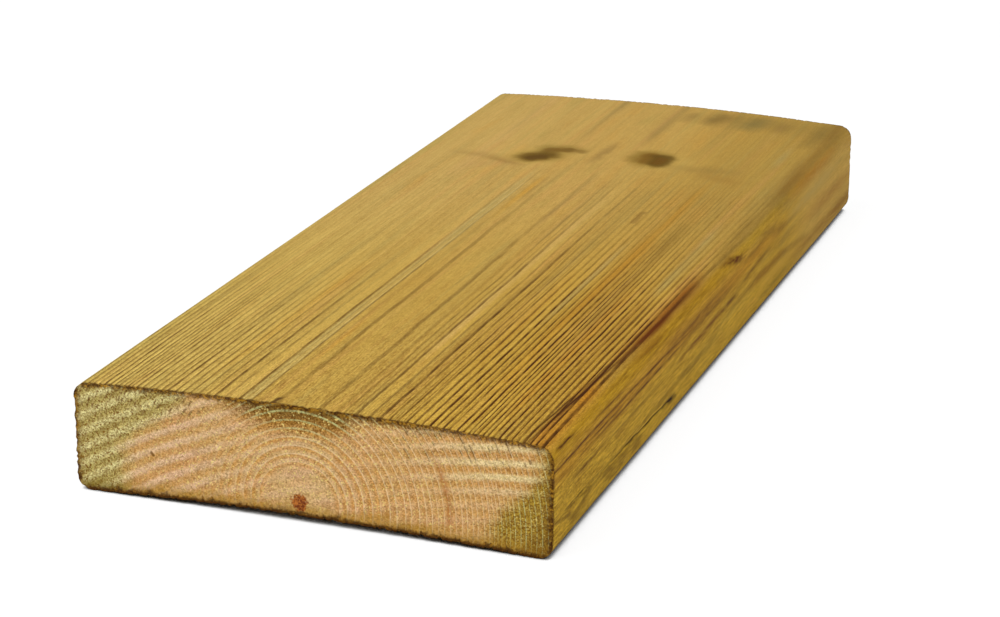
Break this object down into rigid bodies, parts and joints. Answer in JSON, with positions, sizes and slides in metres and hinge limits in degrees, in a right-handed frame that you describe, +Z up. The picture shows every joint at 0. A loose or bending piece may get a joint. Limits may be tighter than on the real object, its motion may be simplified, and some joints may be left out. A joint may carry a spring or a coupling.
{
  "type": "decking board",
  "caption": "Short straight length of planed, pressure-treated softwood decking board with rounded long edges, a shallow cup across its width and square sawn ends.",
  "frame": {"origin": "middle of the footprint, on the surface that the board lies on", "axes": "+Z up out of the board's face, +Y along its length towards the far sawn end, +X across its width"},
  "size_m": [0.14, 0.335, 0.0337],
  "materials": {
    "treated_softwood": "planed and pressure treated, dry, matt; golden brown with dark grain lines, greenish tan on the sawn ends"
  },
  "bodies": {
    "root": {"decking_board": "treated_softwood"}
  },
  "joints": []
}
